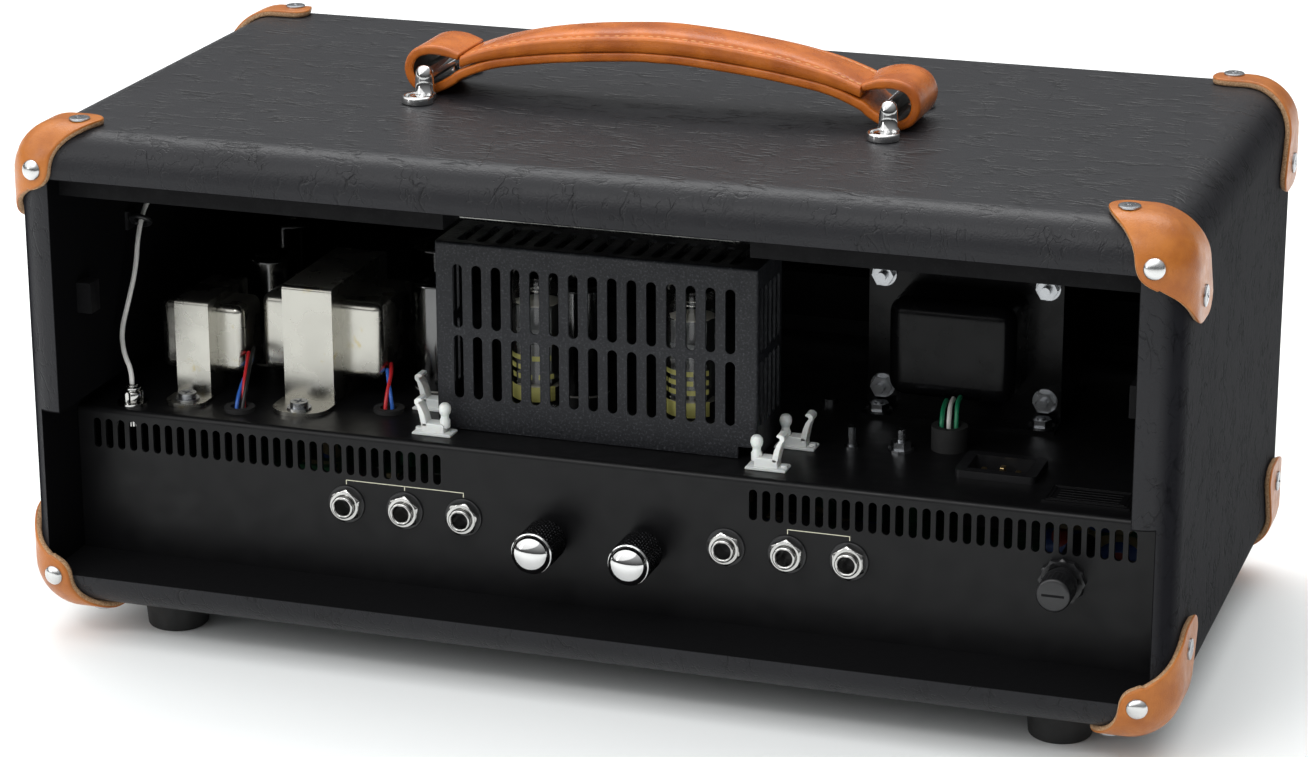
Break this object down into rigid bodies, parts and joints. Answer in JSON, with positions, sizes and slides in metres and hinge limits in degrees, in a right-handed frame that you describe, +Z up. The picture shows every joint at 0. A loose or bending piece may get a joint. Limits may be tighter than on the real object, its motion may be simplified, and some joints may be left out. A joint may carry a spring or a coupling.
{
  "type": "tube guitar amplifier head",
  "caption": "Vinyl-covered guitar amplifier head, open at the back, with leather corners and handle, a black chassis with jacks and knobs, transformers and a slotted tube cage.",
  "frame": {"origin": "on the ground under the middle of the box, between the four feet", "axes": "+X towards the reverb end, -Y towards the front control panel, +Z up"},
  "size_m": [0.4882, 0.2602, 0.2513],
  "materials": {
    "baffle_board": "matte",
    "black_bell": "gloss",
    "black_plastic": "moulded",
    "black_steel": "satin",
    "board": "satin",
    "bright_nail": "polished",
    "bright_nut": "nickel plated",
    "cage_steel": "fine texture",
    "chrome_bracket": "polished",
    "components": "mixed",
    "control_panel": "satin",
    "foot_rubber": "matte",
    "grille_cloth": "woven",
    "grommet_rubber": "matte",
    "jack_plastic": "satin",
    "knob_black": "moulded",
    "laminations": "varnished",
    "lamp": "jewel",
    "nickel_steel": "satin plated",
    "nylon": "moulded",
    "pot_zinc": "satin",
    "strap_leather": "satin",
    "tan_leather": "satin",
    "tube_glass": "clear",
    "vinyl_on_plywood": "satin",
    "white_lead": "satin",
    "wire_insulation": "satin",
    "zinc_screw": "zinc plated",
    "zinc_tray": "satin"
  },
  "bodies": {
    "cabinet": {"blank_plate": "black_steel", "board_components": "components", "board_spacers": "zinc_screw", "bottom_screws": "zinc_screw", "cabinet_shell": "vinyl_on_plywood", "cage_clips": "nylon", "chassis": "black_steel", "chassis_bottom_cover": "black_steel", "chassis_top_hardware": "zinc_screw", "circuit_board": "board", "control_panel": "control_panel", "corner_nails": "bright_nail", "corner_patches_bottom": "tan_leather", "corner_patches_top": "tan_leather", "corner_screws": "zinc_screw", "front_baffle": "baffle_board", "fuse_holder": "black_plastic", "grille_cloth": "grille_cloth", "grommets": "grommet_rubber", "handle_brackets": "chrome_bracket", "handle_screws": "chrome_bracket", "jack_nuts": "bright_nut", "jack_washers": "jack_plastic", "jacks": "jack_plastic", "lead_ring": "nylon", "output_transformer_coil": "nickel_steel", "output_transformer_frame": "nickel_steel", "phono_plug": "bright_nut", "phono_socket": "bright_nut", "pilot_lamp": "lamp", "potentiometers": "pot_zinc", "power_inlet": "black_plastic", "power_transformer_bells": "black_bell", "power_transformer_core": "laminations", "power_tubes": "tube_glass", "preamp_tubes": "tube_glass", "rear_rails": "baffle_board", "reverb_lead": "white_lead", "reverb_tank": "zinc_tray", "rubber_feet": "foot_rubber", "small_transformer_coil": "nickel_steel", "small_transformer_frame": "nickel_steel", "switch_bodies": "pot_zinc", "transformer_leads": "wire_insulation", "tube_cage": "cage_steel", "tube_shields": "nickel_steel", "tube_sockets": "jack_plastic"},
    "rear_knob_1": {"rear_knob_1": "knob_black"},
    "rear_knob_2": {"rear_knob_2": "knob_black"},
    "front_knob_1": {"front_knob_1": "knob_black"},
    "front_knob_2": {"front_knob_2": "knob_black"},
    "front_knob_3": {"front_knob_3": "knob_black"},
    "front_knob_4": {"front_knob_4": "knob_black"},
    "front_knob_5": {"front_knob_5": "knob_black"},
    "mini_toggle_1": {"mini_toggle_1": "bright_nut"},
    "mini_toggle_2": {"mini_toggle_2": "bright_nut"},
    "power_toggle": {"power_toggle": "bright_nut"},
    "standby_toggle": {"standby_toggle": "bright_nut"},
    "fuse_cap": {"fuse_cap": "black_plastic"},
    "handle_strap": {"handle_strap": "strap_leather"}
  },
  "joints": [
    {"name": "rear_knob_1_turn", "type": "hinge", "parent": "cabinet", "child": "rear_knob_1", "pos_m": [0.021, 0.1, 0.06], "axis": [0, 1, 0], "range_deg": [-150, 150]},
    {"name": "rear_knob_2_turn", "type": "hinge", "parent": "cabinet", "child": "rear_knob_2", "pos_m": [-0.02, 0.1, 0.06], "axis": [0, 1, 0], "range_deg": [-150, 150]},
    {"name": "front_knob_1_turn", "type": "hinge", "parent": "cabinet", "child": "front_knob_1", "pos_m": [0.16, -0.112, 0.064], "axis": [0, 1, 0], "range_deg": [-150, 150]},
    {"name": "front_knob_2_turn", "type": "hinge", "parent": "cabinet", "child": "front_knob_2", "pos_m": [0.12, -0.112, 0.064], "axis": [0, 1, 0], "range_deg": [-150, 150]},
    {"name": "front_knob_3_turn", "type": "hinge", "parent": "cabinet", "child": "front_knob_3", "pos_m": [0.08, -0.112, 0.064], "axis": [0, 1, 0], "range_deg": [-150, 150]},
    {"name": "front_knob_4_turn", "type": "hinge", "parent": "cabinet", "child": "front_knob_4", "pos_m": [0.04, -0.112, 0.064], "axis": [0, 1, 0], "range_deg": [-150, 150]},
    {"name": "front_knob_5_turn", "type": "hinge", "parent": "cabinet", "child": "front_knob_5", "pos_m": [0, -0.112, 0.064], "axis": [0, 1, 0], "range_deg": [-150, 150]},
    {"name": "mini_toggle_1_tilt", "type": "hinge", "parent": "cabinet", "child": "mini_toggle_1", "pos_m": [0.183, -0.1052, 0.064], "axis": [1, 0, 0], "range_deg": [-12, 12]},
    {"name": "mini_toggle_2_tilt", "type": "hinge", "parent": "cabinet", "child": "mini_toggle_2", "pos_m": [-0.04, -0.1052, 0.064], "axis": [1, 0, 0], "range_deg": [-12, 12]},
    {"name": "power_toggle_tilt", "type": "hinge", "parent": "cabinet", "child": "power_toggle", "pos_m": [-0.14, -0.1042, 0.064], "axis": [1, 0, 0], "range_deg": [-24, 0]},
    {"name": "standby_toggle_tilt", "type": "hinge", "parent": "cabinet", "child": "standby_toggle", "pos_m": [-0.19, -0.1042, 0.064], "axis": [1, 0, 0], "range_deg": [-24, 0]},
    {"name": "fuse_cap_turn", "type": "hinge", "parent": "cabinet", "child": "fuse_cap", "pos_m": [-0.191, 0.105, 0.066], "axis": [0, 1, 0], "range_deg": [-60, 0]},
    {"name": "handle_lift", "type": "slide", "parent": "cabinet", "child": "handle_strap", "axis": [0, 0, 1], "range_m": [0, 0.002]}
  ]
}
